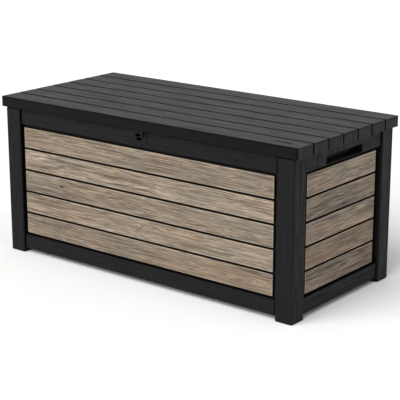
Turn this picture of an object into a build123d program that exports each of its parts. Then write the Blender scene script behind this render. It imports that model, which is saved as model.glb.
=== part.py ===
"""Deck storage box with board-clad walls, a plank-pattern lid and gas struts.

The origin is the centre of the footprint on the ground, +X runs along the box to the right,
+Y runs to the back, where the lid is hinged, and +Z is up.  All sizes are in millimetres.
"""
import os
from math import acos, asin, cos, degrees, radians, sin

from build123d import *

os.makedirs("parts", exist_ok=True)

# ---------------------------------------------------------------- overall sizes
lid_width = 1550.0
lid_depth = 720.0
box_height = 694.0
lid_height = 44.0
lid_side_overhang = 18.0
lid_front_overhang = 8.0
lid_body_gap = 5.0

# ---------------------------------------------------------------- corner posts and feet
post_size = 80.0
post_wall = 4.0
post_radius = 6.0
foot_pad_height = 4.0
foot_pad_inset = 1.5
foot_spigot_height = 12.0
spigot_clearance = 0.5

# ---------------------------------------------------------------- wall panels
ground_clearance = 20.0
bottom_rail_height = 64.0
top_rail_height = 63.5
rail_recess = 7.0
rail_end_gap = 6.0
rail_edge_radius = 1.5
panel_depth = 32.0
skin = 3.5
web_wall = 3.5
rib = 3.0
tongue_reach = 8.0
tongue_clearance = 0.5
rim_lip_height = 19.0
rim_lip_wall = 3.5
floor_ledge = 12.0
long_wall_cells = 9
short_wall_cells = 3

# ---------------------------------------------------------------- cladding boards
boards_per_wall = 5
board_gap = 10.0
board_depth = 12.0
board_skin = 3.0
board_edge_radius = 1.2
board_reveal_top = 14.5
board_reveal_bottom = 11.0
front_board_recess = 9.0
side_board_recess = 14.0
front_board_end_gap = 18.0
side_board_end_gap = 27.0

# ---------------------------------------------------------------- floor panel
floor_rise = 40.0
floor_skin = 3.0
floor_clearance = 1.0
floor_cells = 9

# ---------------------------------------------------------------- side handles
handle_width = 380.0
handle_gap = 2.0
grip_width = 257.0
grip_height = 32.0
grip_sill = 3.0
grip_corner_radius = 5.0
grip_bar_depth = 9.0
grip_bar_height = 11.0
handle_wall = 3.0
handle_pocket_depth = 35.0
handle_clearance = 0.5

# ---------------------------------------------------------------- lid
plank_count = 7
lid_wall = 3.0
lid_corner_radius = 5.0
lid_edge_radius = 2.0
seam_width = 8.0
seam_depth = 4.5
seam_chamfer = 0.8
end_seam_depth = 2.5
seam_backing = 3.0
shadow_groove_height = 3.0
shadow_groove_depth = 1.6
shadow_groove_drop = 2.6
corner_groove_width = 4.5
corner_groove_depth = 1.8
corner_groove_inset = 2.5
liner_height_above_rim = 22.0
liner_skin = 3.0
liner_gap = 0.5
liner_cells_x = 6
liner_cells_y = 2
liner_emboss = 1.2
liner_margin = 46.0
beam_width = 25.0
beam_wall = 1.5
beam_end_gap = 30.0
lid_screw_columns = 5
lid_screw_pitch = 340.0
lid_screw_inset = 60.0
boss_radius = 5.5
buffer_radius = 8.0
badge_length = 84.0
badge_width = 16.0
badge_depth = 1.0
badge_sink = 0.3
badge_from_end = 100.0
badge_clearance = 0.3

# ---------------------------------------------------------------- padlock fittings
lock_plate_width = 76.0
lock_plate_thickness = 2.5
lock_plate_radius = 12.0
lock_plate_drop = 52.0
tongue_width = 50.0
lock_tongue_thickness = 3.5
lock_tongue_gap = 2.0
lock_tongue_drop = 30.0
padlock_eye_width = 32.0
padlock_eye_height = 15.0
padlock_eye_drop = 20.0
padlock_slot_width = 30.0
padlock_slot_height = 12.5
padlock_slot_drop = 37.0
lock_window_width = 44.0
lock_window_drop = 45.0

# ---------------------------------------------------------------- hinges
hinge_spacing = 520.0
hinge_rise = 15.0
knuckle_radius = 5.25
knuckle_gap = 1.0
knuckle_width = 24.0
ear_width = 10.0
ear_gap = 1.0
hinge_plate = 3.0
hinge_riser_setback = 10.0
hinge_riser_depth = 7.0
hinge_base_gap = 0.5
pin_radius = 2.5
pin_clearance = 0.05
pin_overhang = 1.0
pin_head_radius = 4.0
pin_head = 1.5

# ---------------------------------------------------------------- gas struts
strut_arm = 260.0
strut_pivot_drop = 12.0
strut_plane_inset = 27.0
strut_tube_radius = 9.0
strut_tube_wall = 1.5
strut_rod_radius = 4.0
strut_seal_clearance = 0.1
strut_cap = 6.0
piston_length = 8.0
piston_clearance = 0.4
eye_radius = 8.0
eye_width = 12.0
eye_neck_radius = 5.0
stud_radius = 4.0
stud_clearance = 0.05
stud_end = 2.0
stud_washer_radius = 6.5
stud_washer_gap = 0.5
rod_exposed = 14.0
bracket_plate = 3.0
bracket_width = 36.0
bracket_length = 60.0
bracket_foot_gap = 10.0
bracket_post_gap = 2.0
bracket_pad_margin = 1.5

# ---------------------------------------------------------------- screws
screw_radius = 2.0
screw_hole_clearance = 0.15
screw_head_radius = 4.0
screw_head = 2.0
screw_grip = 6.0
lid_screw_length = 15.0

# ---------------------------------------------------------------- places worked out from the sizes
half_x = lid_width / 2 - lid_side_overhang
half_y = lid_depth / 2 - lid_front_overhang
skirt_bottom = box_height - lid_height
rim = skirt_bottom - lid_body_gap
post_x = half_x - post_size / 2
post_y = half_y - post_size / 2
rail_low_top = ground_clearance + bottom_rail_height
rail_high_bottom = rim - top_rail_height
boards_low = rail_low_top + board_reveal_bottom
boards_high = rail_high_bottom - board_reveal_top
board_pitch = (boards_high - boards_low + board_gap) / boards_per_wall
board_height = board_pitch - board_gap
floor_top = ground_clearance + floor_rise
floor_bottom = ground_clearance + skin
plank_pitch = lid_depth / plank_count
seams = plank_count - 1
liner_bottom = rim + liner_height_above_rim
liner_top = box_height - lid_wall - seam_depth
liner_x = lid_width - 2 * (lid_wall + end_seam_depth + liner_gap)
liner_y = lid_depth - 2 * (lid_wall + liner_gap)
beam_height = liner_top - liner_bottom - liner_skin
beam_y = 1.5 * plank_pitch
lid_screw_y = half_y - lid_screw_inset
hinge_y = lid_depth / 2 - lid_wall - knuckle_gap - knuckle_radius
hinge_z = rim + hinge_rise
riser_back = hinge_y - hinge_riser_setback
riser_front = riser_back - hinge_riser_depth
hinge_base_front = half_y - panel_depth + rim_lip_wall + hinge_base_gap
strut_x = half_x - panel_depth - strut_plane_inset
rest_drop = degrees(asin(strut_pivot_drop / strut_arm))
lid_pivot_y = hinge_y - strut_arm * cos(radians(rest_drop))
lid_pivot_z = hinge_z - strut_pivot_drop
box_pivot_y = half_y - post_size - bracket_width / 2 - bracket_post_gap
box_drop = degrees(acos((hinge_y - box_pivot_y) / strut_arm))
box_pivot_z = hinge_z - strut_arm * sin(radians(box_drop))
strut_rest_angle = box_drop - rest_drop
strut_length = 2 * strut_arm * sin(radians(strut_rest_angle / 2))
strut_lean = degrees(asin((box_pivot_y - lid_pivot_y) / strut_length))
tube_end = strut_length - eye_radius - rod_exposed
head_base_width = 2 * screw_head_radius + 2 * bracket_plate
piston_start = eye_radius + eye_width + 2 * strut_tube_wall + strut_cap
screw_hole_radius = screw_radius + screw_hole_clearance
eye_bore = stud_radius + stud_clearance

# Each wall has a plane on the posts' outer faces: local x along the wall to the right as seen
# from outside, local y up from the ground, and the normal outwards.
front_wall = Plane(origin=(0, -half_y, 0), x_dir=(1, 0, 0), z_dir=(0, -1, 0))
back_wall = Plane(origin=(0, half_y, 0), x_dir=(-1, 0, 0), z_dir=(0, 1, 0))
right_wall = Plane(origin=(half_x, 0, 0), x_dir=(0, 1, 0), z_dir=(1, 0, 0))
left_wall = Plane(origin=(-half_x, 0, 0), x_dir=(0, -1, 0), z_dir=(-1, 0, 0))
walls = {"front": front_wall, "back": back_wall, "right": right_wall, "left": left_wall}
sides = {"left": -1, "right": 1}
hinge_places = {"left": -hinge_spacing, "centre": 0.0, "right": hinge_spacing}


def save(piece, name):
    """Label a finished piece and write it as a sub-part of its own."""
    piece.part.label = name
    export_step(piece.part, f"parts/{name}.step")


def discs(plane, places, radius):
    """Sketch of equal circles at places given in a plane's own coordinates."""
    with BuildSketch(plane) as sketch:
        with Locations(*places):
            Circle(radius)
    return sketch.sketch


def is_long(name):
    """Tell the long walls, front and back, from the two end walls."""
    return name in ("front", "back")


def clear_half(name):
    """Half the distance between the posts that stand at the ends of a wall."""
    return (half_x if is_long(name) else half_y) - post_size


def recess_of(name):
    """How far the boards of a wall stand behind the faces of the posts."""
    return front_board_recess if is_long(name) else side_board_recess


def web_front(name):
    """Depth of the front of a wall's web, which the backs of its boards touch."""
    return recess_of(name) + board_depth


# ---------------------------------------------------------------- posts, feet and floor
def make_post(name, side_x, side_y):
    """Hollow corner post, closed on top, slotted for the tongues of the two walls it joins."""
    foot = Plane(origin=(side_x * post_x, side_y * post_y, foot_pad_height))
    slot_height = rim - ground_clearance + tongue_clearance
    slot_width = web_wall + 2 * tongue_clearance
    slot_reach = tongue_reach + tongue_clearance
    long_slot_y = half_y - web_front("front") - web_wall / 2
    short_slot_x = half_x - web_front("left") - web_wall / 2
    with BuildPart() as post:
        with BuildSketch(foot):
            RectangleRounded(post_size, post_size, post_radius)
        extrude(amount=rim - foot_pad_height)
        fillet(post.faces().sort_by(Axis.Z)[-1].edges(), radius=rail_edge_radius)
        with BuildSketch(foot):
            Rectangle(post_size - 2 * post_wall, post_size - 2 * post_wall)
        extrude(amount=rim - foot_pad_height - post_wall, mode=Mode.SUBTRACT)
        with BuildSketch(Plane.XY.offset(ground_clearance - tongue_clearance)):
            with Locations((side_x * (half_x - post_size + slot_reach / 2), side_y * long_slot_y)):
                Rectangle(slot_reach, slot_width)
            with Locations((side_x * short_slot_x, side_y * (half_y - post_size + slot_reach / 2))):
                Rectangle(slot_width, slot_reach)
        extrude(amount=slot_height, mode=Mode.SUBTRACT)
    save(post, name)


def make_foot_pads():
    """Four pads that close the posts below and stand on the ground."""
    pad = post_size - 2 * foot_pad_inset
    spigot = post_size - 2 * post_wall - 2 * spigot_clearance
    with BuildPart() as pads:
        with BuildSketch(Plane.XY):
            with GridLocations(2 * post_x, 2 * post_y, 2, 2):
                RectangleRounded(pad, pad, post_radius)
        extrude(amount=foot_pad_height)
        chamfer(pads.faces().group_by(Axis.Z)[0].edges(), length=foot_pad_inset / 2)
        with BuildSketch(Plane.XY.offset(foot_pad_height)):
            with GridLocations(2 * post_x, 2 * post_y, 2, 2):
                Rectangle(spigot, spigot)
                Rectangle(spigot - 2 * post_wall, spigot - 2 * post_wall, mode=Mode.SUBTRACT)
        extrude(amount=foot_spigot_height)
    save(pads, "foot_pads")


def make_floor():
    """Floor panel with ribs across it, which lies on the ledges of the walls, notched round the posts."""
    size_x = 2 * (half_x - panel_depth - floor_clearance)
    size_y = 2 * (half_y - panel_depth - floor_clearance)
    notch = 2 * (post_size - panel_depth)
    cell = size_x / floor_cells
    with BuildPart() as floor_panel:
        with BuildSketch(Plane.XY.offset(floor_bottom)):
            Rectangle(size_x, size_y)
            with GridLocations(size_x, size_y, 2, 2):
                Rectangle(notch, notch, mode=Mode.SUBTRACT)
        extrude(amount=floor_top - floor_bottom)
        with BuildSketch(Plane.XY.offset(floor_bottom)):
            with GridLocations(cell, size_y, floor_cells, 1):
                Rectangle(cell - rib, size_y - rib)
            with GridLocations(size_x, size_y, 2, 2):
                Rectangle(notch + 2 * rib, notch + 2 * rib, mode=Mode.SUBTRACT)
        extrude(amount=floor_top - floor_bottom - floor_skin, mode=Mode.SUBTRACT)
    save(floor_panel, "floor_panel")


# ---------------------------------------------------------------- walls
def make_panel(name):
    """One moulded wall: channel rails above and below a web, with ribs, rim lip and floor ledge."""
    wall = walls[name]
    rail_length = 2 * (clear_half(name) - rail_end_gap)
    web_length = 2 * (clear_half(name) + tongue_reach)
    cells = long_wall_cells if is_long(name) else short_wall_cells
    cell = (rail_length - rib) / cells
    web_back = web_front(name) + web_wall
    rails = (
        ((rail_low_top + ground_clearance) / 2, bottom_rail_height),
        ((rim + rail_high_bottom) / 2, top_rail_height),
    )
    with BuildPart() as panel:
        for middle, height in rails:
            with BuildSketch(wall.offset(-rail_recess)):
                with Locations((0, middle)):
                    Rectangle(rail_length, height)
            extrude(amount=rail_recess - panel_depth)
        outer_faces = panel.faces().sort_by(Axis(wall.origin, wall.z_dir))[-2:]
        fillet(outer_faces.edges(), radius=rail_edge_radius)
        with BuildSketch(wall.offset(-web_front(name))):
            with Locations((0, (rim + ground_clearance) / 2)):
                Rectangle(web_length, rim - ground_clearance)
        extrude(amount=-web_wall)
        for middle, height in rails:
            with BuildSketch(wall.offset(-panel_depth)):
                with Locations((0, middle)):
                    with GridLocations(cell, 0, cells, 1):
                        Rectangle(cell - rib, height - 2 * skin)
            extrude(amount=panel_depth - rail_recess - skin, mode=Mode.SUBTRACT)
        with BuildSketch(wall.offset(-web_back)):
            with Locations((0, (rail_high_bottom + rail_low_top) / 2)):
                with GridLocations(cell, 0, cells + 1, 1):
                    Rectangle(rib, rail_high_bottom - rail_low_top)
        extrude(amount=web_back - panel_depth)
        with BuildSketch(wall.offset(rim_lip_wall - panel_depth)):
            with Locations((0, rim + rim_lip_height / 2)):
                Rectangle(rail_length, rim_lip_height)
        extrude(amount=-rim_lip_wall)
        with BuildSketch(wall.offset(-panel_depth)):
            with Locations((0, ground_clearance + skin / 2)):
                Rectangle(rail_length, skin)
        extrude(amount=-floor_ledge)
        if name == "front":
            add(lock_window(wall), mode=Mode.SUBTRACT)
        if name == "back":
            flange = Plane.XY.offset(rim - skin)
            extrude(discs(flange, hinge_base_screws(), screw_hole_radius), amount=skin, mode=Mode.SUBTRACT)
        if not is_long(name):
            add(handle_seat(wall), mode=Mode.SUBTRACT)
            add(handle_ribs(wall))
            add(strut_pad(name))
            bracket_holes = discs(Plane.YZ, foot_bracket_screws(), screw_hole_radius)
            extrude(bracket_holes, amount=sides[name] * half_x, mode=Mode.SUBTRACT)
    save(panel, f"{name}_panel")


def lock_window(wall):
    """Cutter for the window in the front rail, behind the two padlock holes."""
    height = lock_window_drop - skin
    with BuildPart() as window:
        with BuildSketch(wall.offset(-rail_recess)):
            with Locations((0, rim - skin - height / 2)):
                Rectangle(lock_window_width, height)
        extrude(amount=-skin)
    return window.part


def handle_seat(wall):
    """Cutter for the handle in an end wall's top rail: its plate in front, its pocket behind."""
    seat_width = handle_width + 2 * handle_gap
    pocket_width = grip_width + 2 * (handle_wall + handle_clearance)
    with BuildPart() as seat:
        with BuildSketch(wall.offset(-rail_recess)):
            with Locations((0, (rim + rail_high_bottom) / 2)):
                Rectangle(seat_width, top_rail_height)
        extrude(amount=-skin)
        with BuildSketch(wall.offset(-rail_recess - skin)):
            with Locations((0, (rim - skin + rail_high_bottom) / 2)):
                Rectangle(pocket_width, top_rail_height - skin)
        extrude(amount=rail_recess + skin - panel_depth)
    return seat.part


def handle_ribs(wall):
    """Two ribs in an end wall's top rail, behind the ends of the handle's plate."""
    spacing = grip_width + (handle_width - grip_width) / 2
    with BuildPart() as ribs:
        with BuildSketch(wall.offset(-rail_recess - skin)):
            with Locations((0, (rim + rail_high_bottom) / 2)):
                with GridLocations(spacing, 0, 2, 1):
                    Rectangle(rib, top_rail_height - 2 * skin)
        extrude(amount=rail_recess + skin - panel_depth)
    return ribs.part


def strut_pad(name):
    """Thick pad on the inside of an end wall that carries the foot bracket of the gas strut."""
    depth = web_front(name)
    with BuildPart() as pad:
        with BuildSketch(Plane.YZ.offset(sides[name] * (half_x - depth))):
            with Locations((box_pivot_y, box_pivot_z)):
                Rectangle(bracket_width, bracket_length)
        extrude(amount=sides[name] * (depth - panel_depth))
    return pad.part


def make_board(name, number):
    """One cladding board, hollow behind, with its back edges on the web of the wall."""
    wall = walls[name]
    end_gap = front_board_end_gap if is_long(name) else side_board_end_gap
    length = 2 * (clear_half(name) - end_gap)
    middle = boards_high - board_height / 2 - (number - 1) * board_pitch
    cells = long_wall_cells if is_long(name) else short_wall_cells
    cell = (length - board_skin) / cells
    with BuildPart() as board:
        with BuildSketch(wall.offset(-recess_of(name))):
            with Locations((0, middle)):
                Rectangle(length, board_height)
        extrude(amount=-board_depth)
        outer_face = board.faces().sort_by(Axis(wall.origin, wall.z_dir))[-1]
        fillet(outer_face.edges(), radius=board_edge_radius)
        with BuildSketch(wall.offset(-web_front(name))):
            with Locations((0, middle)):
                with GridLocations(cell, 0, cells, 1):
                    Rectangle(cell - board_skin, board_height - 2 * board_skin)
        extrude(amount=board_depth - board_skin, mode=Mode.SUBTRACT)
    save(board, f"{name}_board_{number}")


def make_handle(name):
    """Side handle: a plate flush with the top rail, a grip opening and a closed pocket behind."""
    wall = walls[name]
    plate_low = rail_high_bottom + handle_clearance
    plate_high = rim - handle_clearance
    pocket_high = rim - skin - handle_clearance
    grip_low = plate_low + grip_sill
    grip_high = grip_low + grip_height
    plate_back = wall.offset(-rail_recess - skin)
    with BuildPart() as handle:
        with BuildSketch(wall.offset(-rail_recess)):
            with Locations((0, (plate_low + plate_high) / 2)):
                Rectangle(handle_width, plate_high - plate_low)
        extrude(amount=-skin)
        with BuildSketch(plate_back):
            with Locations((0, (plate_low + pocket_high) / 2)):
                Rectangle(grip_width + 2 * handle_wall, pocket_high - plate_low)
        extrude(amount=-handle_pocket_depth)
        with BuildSketch(plate_back):
            with Locations((0, (grip_low + pocket_high - handle_wall) / 2)):
                Rectangle(grip_width, pocket_high - handle_wall - grip_low)
        extrude(amount=handle_wall - handle_pocket_depth, mode=Mode.SUBTRACT)
        with BuildSketch(wall.offset(-rail_recess)):
            with Locations((0, (grip_low + grip_high) / 2)):
                RectangleRounded(grip_width, grip_height, grip_corner_radius)
        extrude(amount=-skin, mode=Mode.SUBTRACT)
        with BuildSketch(plate_back):
            with Locations((0, grip_high + grip_bar_height / 2)):
                Rectangle(grip_width, grip_bar_height)
        extrude(amount=-grip_bar_depth)
        outer_face = handle.faces().sort_by(Axis(wall.origin, wall.z_dir))[-1]
        fillet(outer_face.outer_wire().edges(), radius=board_edge_radius)
        outer_face = handle.faces().sort_by(Axis(wall.origin, wall.z_dir))[-1]
        fillet(outer_face.inner_wires()[0].edges(), radius=board_edge_radius)
    save(handle, f"{name}_handle")


# ---------------------------------------------------------------- lid
def make_lid_shell():
    """Lid moulding: seven planks along X, parted by seams that run on down both ends."""
    backing = seam_width + 2 * seam_backing
    inner_x = lid_width - 2 * lid_wall
    inner_y = lid_depth - 2 * lid_wall
    groove_middle = box_height - shadow_groove_drop - shadow_groove_height / 2
    corner_groove_x = lid_width - 2 * corner_groove_inset - corner_groove_width
    boss_bottom = liner_bottom + liner_skin
    with BuildPart() as shell:
        with BuildSketch(Plane.XY.offset(skirt_bottom)):
            RectangleRounded(lid_width, lid_depth, lid_corner_radius)
        extrude(amount=lid_height)
        fillet(shell.faces().sort_by(Axis.Z)[-1].edges(), radius=lid_edge_radius)
        with BuildSketch(Plane.XY.offset(skirt_bottom)):
            Rectangle(inner_x, inner_y)
        extrude(amount=lid_height - lid_wall, mode=Mode.SUBTRACT)
        with BuildSketch(Plane.XY.offset(box_height - lid_wall)):
            with GridLocations(0, plank_pitch, 1, seams):
                Rectangle(inner_x, backing)
        extrude(amount=-seam_depth)
        with BuildSketch(Plane.XY.offset(skirt_bottom)):
            with GridLocations(inner_x - end_seam_depth, plank_pitch, 2, seams):
                Rectangle(end_seam_depth, backing)
        extrude(amount=lid_height - lid_wall)
        with BuildSketch(Plane.XY.offset(boss_bottom)):
            with GridLocations(lid_screw_pitch, 2 * lid_screw_y, lid_screw_columns, 2):
                Circle(boss_radius)
        extrude(amount=box_height - lid_wall - boss_bottom)
        with BuildSketch(Plane.XY.offset(boss_bottom)):
            with GridLocations(lid_screw_pitch, 2 * lid_screw_y, lid_screw_columns, 2):
                Circle(screw_hole_radius)
        extrude(amount=lid_screw_length, mode=Mode.SUBTRACT)
        with BuildSketch(Plane.XY.offset(box_height)):
            with GridLocations(0, plank_pitch, 1, seams):
                Rectangle(lid_width, seam_width)
        extrude(amount=-seam_depth, mode=Mode.SUBTRACT)
        top_edges = shell.edges().filter_by(Axis.X).group_by(Axis.Z)[-1]
        chamfer([edge for edge in top_edges if abs(edge.center().Y) < inner_y / 2], length=seam_chamfer)
        with BuildSketch(Plane.XY.offset(skirt_bottom)):
            with GridLocations(lid_width, plank_pitch, 2, seams):
                Rectangle(2 * end_seam_depth, seam_width)
            with GridLocations(corner_groove_x, lid_depth, 2, 1):
                with Locations((0, -lid_depth / 2)):
                    Rectangle(corner_groove_width, 2 * corner_groove_depth)
        extrude(amount=lid_height, mode=Mode.SUBTRACT)
        with BuildSketch(Plane.XY.offset(groove_middle - shadow_groove_height / 2)):
            with Locations((0, -lid_depth / 2)):
                Rectangle(corner_groove_x, 2 * shadow_groove_depth)
            with GridLocations(lid_width, plank_pitch, 2, seams):
                with Locations((0, plank_pitch / 2)):
                    Rectangle(2 * shadow_groove_depth, plank_pitch - seam_width)
        extrude(amount=shadow_groove_height, mode=Mode.SUBTRACT)
        with BuildSketch(badge_plane()):
            SlotOverall(badge_length + 2 * badge_clearance, badge_width + 2 * badge_clearance)
        extrude(amount=-badge_depth, mode=Mode.SUBTRACT)
    save(shell, "lid_shell")


def badge_plane():
    """Where the blank badge lies: on the first plank, near its right end."""
    badge_x = lid_width / 2 - badge_from_end
    return Plane(origin=(badge_x, (plank_pitch - lid_depth) / 2, box_height))


def make_badge():
    """Plain, blank badge let into the first plank."""
    with BuildPart() as badge:
        with BuildSketch(badge_plane().offset(-badge_depth)):
            SlotOverall(badge_length, badge_width)
        extrude(amount=badge_depth - badge_sink)
    save(badge, "lid_badge")


def make_lid_liner():
    """Inner skin of the lid, with an upstand all round and embossed fields on its underside."""
    field_x = (liner_x - 2 * liner_margin) / liner_cells_x
    field_y = (liner_y - 2 * liner_margin) / liner_cells_y
    pad_width = head_base_width + 2 * bracket_pad_margin
    with BuildPart() as liner:
        with BuildSketch(Plane.XY.offset(liner_bottom)):
            Rectangle(liner_x, liner_y)
        extrude(amount=liner_top - liner_bottom)
        with BuildSketch(Plane.XY.offset(liner_bottom + liner_skin)):
            Rectangle(liner_x - 2 * liner_skin, liner_y - 2 * liner_skin)
        extrude(amount=liner_top - liner_bottom - liner_skin, mode=Mode.SUBTRACT)
        with BuildSketch(Plane.XY.offset(liner_bottom)):
            with GridLocations(field_x, field_y, liner_cells_x, liner_cells_y):
                RectangleRounded(field_x - beam_width, field_y - beam_width, buffer_radius)
            with GridLocations(2 * head_bracket_x(), 0, 2, 1):
                with Locations((0, lid_pivot_y)):
                    Rectangle(pad_width, bracket_length + 2 * bracket_pad_margin, mode=Mode.SUBTRACT)
        extrude(amount=liner_emboss, mode=Mode.SUBTRACT)
        with BuildSketch(Plane.XY.offset(liner_bottom)):
            with GridLocations(lid_screw_pitch, 2 * lid_screw_y, lid_screw_columns, 2):
                Circle(screw_hole_radius)
            with Locations(*hinge_leaf_screws(), *head_bracket_screws()):
                Circle(screw_hole_radius)
        extrude(amount=liner_skin, mode=Mode.SUBTRACT)
    save(liner, "lid_liner")


def make_lid_beam(name, side_y):
    """Steel box section that stiffens the lid, between the liner and a seam."""
    half_length = liner_x / 2 - beam_end_gap
    with BuildPart() as beam:
        with BuildSketch(Plane.YZ.offset(-half_length)):
            with Locations((side_y * beam_y, liner_top - beam_height / 2)):
                Rectangle(beam_width, beam_height)
                Rectangle(beam_width - 2 * beam_wall, beam_height - 2 * beam_wall, mode=Mode.SUBTRACT)
        extrude(amount=2 * half_length)
    save(beam, f"lid_beam_{name}")


def make_lid_buffers():
    """Four rubber buffers under the lid that come to rest on the tops of the posts."""
    with BuildPart() as buffers:
        with BuildSketch(Plane.XY.offset(rim)):
            with GridLocations(2 * post_x, 2 * post_y, 2, 2):
                Circle(buffer_radius)
        extrude(amount=liner_height_above_rim)
        chamfer(buffers.faces().group_by(Axis.Z)[0].edges(), length=lid_edge_radius)
    save(buffers, "lid_buffers")


# ---------------------------------------------------------------- padlock fittings
def make_lock_plate():
    """Plate on the front rail with the lower padlock slot and a notch behind the lid's tongue."""
    face = front_wall.offset(-rail_recess)
    low = rim - lock_plate_drop
    with BuildPart() as plate:
        with BuildSketch(face):
            with Locations((0, (low + rim) / 2)):
                Rectangle(lock_plate_width, rim - low)
        extrude(amount=lock_plate_thickness)
        long_edges = plate.edges().filter_by(Axis.Y).group_by(Axis.Z)
        fillet(long_edges[0], radius=lock_plate_radius)
        fillet(plate.faces().sort_by(Axis.Y)[0].edges(), radius=seam_chamfer)
        with BuildSketch(face):
            with Locations((0, rim - padlock_slot_drop + padlock_slot_height / 2)):
                SlotOverall(padlock_slot_width, padlock_slot_height)
            with Locations((0, rim - padlock_eye_drop / 2)):
                Rectangle(padlock_eye_width + 2 * lock_tongue_gap, padlock_eye_drop + lock_tongue_gap)
        extrude(amount=lock_plate_thickness, mode=Mode.SUBTRACT)
    save(plate, "lock_plate")


def make_lock_tongue():
    """Tongue that hangs from the inside of the lid's front skirt, with the upper padlock eye."""
    back = front_wall.offset(lock_plate_thickness - rail_recess + lock_tongue_gap)
    to_skirt = lid_front_overhang + rail_recess - lid_wall - lock_plate_thickness - lock_tongue_gap
    low = rim + lid_body_gap - lock_tongue_drop
    high = liner_bottom - liner_gap
    eye_middle = rim - padlock_eye_drop + padlock_eye_height / 2 - lock_tongue_gap
    eye_arc = (padlock_eye_width**2 + padlock_eye_height**2) / (4 * padlock_eye_height)
    with BuildPart() as tongue:
        with BuildSketch(back):
            with Locations((0, (low + high) / 2)):
                Rectangle(tongue_width, high - low)
        extrude(amount=lock_tongue_thickness)
        fillet(tongue.edges().filter_by(Axis.Y).group_by(Axis.Z)[0], radius=lock_plate_radius)
        fillet(tongue.faces().sort_by(Axis.Y)[0].edges().group_by(Axis.Z)[0], radius=seam_chamfer)
        with BuildSketch(back):
            with Locations((0, (skirt_bottom + rail_edge_radius + high) / 2)):
                Rectangle(tongue_width, high - skirt_bottom - rail_edge_radius)
        extrude(amount=to_skirt)
        with BuildSketch(back):
            with BuildLine():
                RadiusArc(
                    (-padlock_eye_width / 2, eye_middle), (padlock_eye_width / 2, eye_middle), eye_arc
                )
                RadiusArc(
                    (padlock_eye_width / 2, eye_middle), (-padlock_eye_width / 2, eye_middle), eye_arc
                )
            make_face()
        extrude(amount=lock_tongue_thickness, mode=Mode.SUBTRACT)
    save(tongue, "lock_tongue")


# ---------------------------------------------------------------- hinges
def hinge_base_screws():
    """Centres of the two screws in each hinge base, on the back rail's top flange."""
    base_y = (hinge_base_front + riser_front) / 2
    reach = knuckle_width / 2 + ear_gap + ear_width / 2
    return [(x + side * reach, base_y) for x in hinge_places.values() for side in (-1, 1)]


def hinge_leaf_screws():
    """Centres of the two screws in each hinge leaf, under the liner of the lid."""
    reach = knuckle_width / 4
    return [(x + side * reach, hinge_leaf_y()) for x in hinge_places.values() for side in (-1, 1)]


def hinge_leaf_y():
    """Middle of the part of a hinge leaf that is screwed to the liner."""
    return hinge_y - knuckle_radius - 2 * screw_head_radius


def make_hinge(name, middle):
    """One hinge without its pin: a base with two ears and a leaf with the knuckle between them."""
    reach = knuckle_width / 2 + ear_gap + ear_width
    arm_low = hinge_z - knuckle_radius
    arm_high = hinge_z + knuckle_radius
    with BuildPart() as base:
        with BuildSketch(Plane.YZ.offset(middle - reach)):
            with BuildLine():
                Polyline(
                    (hinge_base_front, rim),
                    (riser_back, rim),
                    (riser_back, arm_low),
                    (hinge_y, arm_low),
                )
                RadiusArc((hinge_y, arm_low), (hinge_y, arm_high), -knuckle_radius)
                Polyline(
                    (hinge_y, arm_high),
                    (riser_front, arm_high),
                    (riser_front, rim + hinge_plate),
                    (hinge_base_front, rim + hinge_plate),
                    (hinge_base_front, rim),
                )
            make_face()
            with Locations((hinge_y, hinge_z)):
                Circle(pin_radius + pin_clearance, mode=Mode.SUBTRACT)
        extrude(amount=2 * reach)
        with BuildSketch(Plane.YZ.offset(middle - knuckle_width / 2 - ear_gap)):
            with Locations((hinge_y, hinge_z)):
                Rectangle(2 * (hinge_y - riser_front), 4 * hinge_rise)
        extrude(amount=knuckle_width + 2 * ear_gap, mode=Mode.SUBTRACT)
        base_holes = discs(Plane.XY.offset(rim), hinge_base_screws(), screw_hole_radius)
        extrude(base_holes, amount=hinge_plate, mode=Mode.SUBTRACT)
    save(base, f"hinge_base_{name}")

    leaf_low = liner_bottom - hinge_plate
    leaf_front = hinge_leaf_y() - 2 * screw_head_radius
    with BuildPart() as leaf:
        with BuildSketch(Plane.YZ.offset(middle - knuckle_width / 2)):
            with Locations((hinge_y, hinge_z)):
                Circle(knuckle_radius)
            with Locations((hinge_y, (hinge_z + liner_bottom) / 2)):
                Rectangle(2 * knuckle_radius, liner_bottom - hinge_z)
            with Locations(((leaf_front + hinge_y) / 2, (leaf_low + liner_bottom) / 2)):
                Rectangle(hinge_y - leaf_front, hinge_plate)
            with Locations((hinge_y, hinge_z)):
                Circle(pin_radius + pin_clearance, mode=Mode.SUBTRACT)
        extrude(amount=knuckle_width)
        leaf_holes = discs(Plane.XY.offset(leaf_low), hinge_leaf_screws(), screw_hole_radius)
        extrude(leaf_holes, amount=hinge_plate, mode=Mode.SUBTRACT)
    save(leaf, f"hinge_leaf_{name}")


def make_hinge_pins():
    """The three steel pins, each with a head at its right end."""
    axis_point = [(hinge_y, hinge_z)]
    half_length = knuckle_width / 2 + ear_gap + ear_width + pin_overhang
    with BuildPart() as pins:
        for middle in hinge_places.values():
            extrude(discs(Plane.YZ.offset(middle - half_length), axis_point, pin_radius), 2 * half_length)
            extrude(discs(Plane.YZ.offset(middle + half_length), axis_point, pin_head_radius), pin_head)
    save(pins, "hinge_pins")


# ---------------------------------------------------------------- gas struts
def foot_bracket_screws():
    """Centres (Y, Z) of the two screws of a strut's foot bracket, on the end wall's pad."""
    reach = (bracket_length - bracket_foot_gap) / 2 - screw_head_radius
    return [(box_pivot_y, box_pivot_z + side * reach) for side in (-1, 1)]


def head_bracket_screws():
    """Centres (X, Y) of the two screws of each strut's head bracket, under the liner."""
    reach = (bracket_length - bracket_foot_gap) / 2 - screw_head_radius
    middle = head_bracket_x()
    return [
        (side * middle, lid_pivot_y + along * reach) for side in sides.values() for along in (-1, 1)
    ]


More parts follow.
